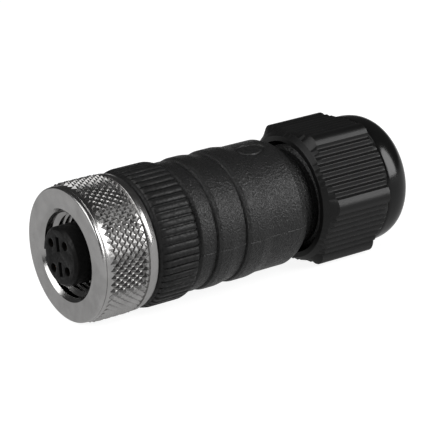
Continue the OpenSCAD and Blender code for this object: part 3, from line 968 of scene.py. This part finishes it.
class AddStage(PieceOperator, bpy.types.Operator):
    """Sets the floor, the soft lights, the world and the camera."""

    bl_idname = "connector.add_stage"
    bl_label = "Stage"

    target = Vector((28, 0, 0)) * MM

    def softbox(self, name, direction, width, height, radiance):
        """A soft light at 0.6 m that faces the connector."""
        light = bpy.data.lights.new(name, "AREA")
        light.shape = "RECTANGLE"
        light.size, light.size_y = width, height
        light.energy = radiance * math.pi * width * height
        lamp = bpy.data.objects.new(name, light)
        lamp.location = self.target + Vector(direction).normalized() * 0.6
        lamp.rotation_euler = (self.target - lamp.location).to_track_quat("-Z", "Y").to_euler()
        bpy.context.scene.collection.objects.link(lamp)

    def seen_directly(self, nodes, link):
        """Is 1 for rays from the camera and in reflections and glass."""
        path = nodes.new("ShaderNodeLightPath")
        glossy = nodes.new("ShaderNodeMath")
        glossy.operation = "MAXIMUM"
        link(path.outputs["Is Camera Ray"], glossy.inputs[0])
        link(path.outputs["Is Glossy Ray"], glossy.inputs[1])
        seen = nodes.new("ShaderNodeMath")
        seen.operation = "MAXIMUM"
        link(glossy.outputs[0], seen.inputs[0])
        link(path.outputs["Is Transmission Ray"], seen.inputs[1])
        return seen.outputs[0], path

    def floor(self):
        """A pale floor that shows white but keeps a faint shadow."""
        half, z = 1.5, CAD_BOX[0][2]
        mesh = bpy.data.meshes.new("Floor")
        mesh.from_pydata([(-half, -half, z), (half, -half, z), (half, half, z), (-half, half, z)], [], [(0, 1, 2, 3)])
        obj = bpy.data.objects.new("Floor", mesh)
        bpy.context.scene.collection.objects.link(obj)
        paint = bpy.data.materials.new("Floor")
        paint.use_nodes = True
        nodes, link = paint.node_tree.nodes, paint.node_tree.links.new
        nodes.clear()
        diffuse = nodes.new("ShaderNodeBsdfDiffuse")
        diffuse.inputs["Color"].default_value = (0.3, 0.3, 0.3, 1)
        glow = nodes.new("ShaderNodeEmission")
        glow.inputs["Color"].default_value = (*self.colors.background, 1)
        seen, path = self.seen_directly(nodes, link)
        mirrored = nodes.new("ShaderNodeMix")
        mirrored.data_type = "FLOAT"
        mirrored.inputs[2].default_value = 0.36
        mirrored.inputs[3].default_value = 0.9
        link(path.outputs["Is Camera Ray"], mirrored.inputs[0])
        strength = nodes.new("ShaderNodeMath")
        strength.operation = "MULTIPLY"
        link(seen, strength.inputs[0])
        link(mirrored.outputs[0], strength.inputs[1])
        link(strength.outputs[0], glow.inputs["Strength"])
        both = nodes.new("ShaderNodeAddShader")
        link(diffuse.outputs[0], both.inputs[0])
        link(glow.outputs[0], both.inputs[1])
        output = nodes.new("ShaderNodeOutputMaterial")
        link(both.outputs[0], output.inputs["Surface"])
        mesh.materials.append(paint)

    def world(self):
        """White to the camera, dark overhead in reflections, and a low even fill."""
        world = bpy.data.worlds.new("Studio")
        bpy.context.scene.world = world
        world.use_nodes = True
        nodes, link = world.node_tree.nodes, world.node_tree.links.new
        nodes.clear()
        seen, path = self.seen_directly(nodes, link)
        place_node = nodes.new("ShaderNodeTexCoord")
        split = nodes.new("ShaderNodeSeparateXYZ")
        link(place_node.outputs["Generated"], split.inputs[0])
        overhead = nodes.new("ShaderNodeMapRange")
        overhead.inputs["From Min"].default_value = 0.0
        overhead.inputs["From Max"].default_value = 0.12
        overhead.inputs["To Min"].default_value = 0.5
        overhead.inputs["To Max"].default_value = 0.05
        link(split.outputs["Z"], overhead.inputs["Value"])
        studio = nodes.new("ShaderNodeMix")
        studio.data_type = "FLOAT"
        studio.inputs[3].default_value = 1.0
        link(path.outputs["Is Camera Ray"], studio.inputs[0])
        link(overhead.outputs[0], studio.inputs[2])
        level = nodes.new("ShaderNodeMix")
        level.data_type = "FLOAT"
        level.inputs[2].default_value = 0.1
        link(seen, level.inputs[0])
        link(studio.outputs[0], level.inputs[3])
        sky = nodes.new("ShaderNodeBackground")
        sky.inputs["Color"].default_value = (*self.colors.background, 1)
        link(level.outputs[0], sky.inputs["Strength"])
        output = nodes.new("ShaderNodeOutputWorld")
        link(sky.outputs[0], output.inputs["Surface"])

    def camera(self):
        """A long lens from the front, above and to the side of the mating face."""
        lens = bpy.data.cameras.new("Camera")
        lens.sensor_width = 36
        lens.lens = 206.4
        lens.clip_start = 0.01
        right = Vector((0.8112, -0.5814, -0.0639))
        up = Vector((0.2182, 0.1994, 0.9552))
        back = right.cross(up)
        turn = Matrix((right, back.cross(right), back)).transposed()
        camera = bpy.data.objects.new("Camera", lens)
        camera.matrix_world = Matrix.Translation(Vector((-165.21, -278.7134, 101.4863)) * MM) @ turn.to_4x4()
        bpy.context.scene.collection.objects.link(camera)
        bpy.context.scene.camera = camera

    def execute(self, context):
        self.floor()
        self.world()
        self.softbox("Key softbox", (0.62, -0.6725, 0.4102), 0.28, 0.42, 7)
        self.softbox("Front softbox", (-0.80, -0.0354, 0.5192), 0.6, 0.36, 3.4)
        self.softbox("Overhead softbox", (-0.3, -0.1, 0.95), 0.3, 0.3, 1.8)
        self.camera()
        context.scene.view_settings.view_transform = "Standard"
        return {"FINISHED"}


# ---- Panel and registration ---------------------------------------------------------

OPERATORS = (
    AddCouplingNut,
    AddInsert,
    AddTerminals,
    AddCollar,
    AddHousing,
    AddClamp,
    AddGlandNut,
    AddStage,
)


class ConnectorPanel(bpy.types.Panel):
    """Lists the connector's pieces, sizes and colours."""

    bl_idname = "VIEW3D_PT_connector"
    bl_label = "Circular connector"
    bl_space_type = "VIEW_3D"
    bl_region_type = "UI"
    bl_category = "Connector"

    def draw(self, context):
        for operator in OPERATORS:
            self.layout.operator(operator.bl_idname)
        for group in (context.scene.connector_sizes, context.scene.connector_colors):
            for name in group.__annotations__:
                self.layout.prop(group, name)


CLASSES = (ConnectorSizes, ConnectorColors, *OPERATORS, ConnectorPanel)


def register():
    for item in CLASSES:
        bpy.utils.register_class(item)
    bpy.types.Scene.connector_sizes = bpy.props.PointerProperty(type=ConnectorSizes)
    bpy.types.Scene.connector_colors = bpy.props.PointerProperty(type=ConnectorColors)


def unregister():
    del bpy.types.Scene.connector_sizes
    del bpy.types.Scene.connector_colors
    for item in reversed(CLASSES):
        bpy.utils.unregister_class(item)


def main():
    """Registers the add-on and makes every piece."""
    register()
    bpy.ops.connector.add_stage()
    bpy.ops.connector.add_coupling_nut()
    bpy.ops.connector.add_insert()
    bpy.ops.connector.add_terminals()
    bpy.ops.connector.add_collar()
    bpy.ops.connector.add_housing()
    bpy.ops.connector.add_clamp()
    bpy.ops.connector.add_gland_nut()


if __name__ == "__main__":
    main()
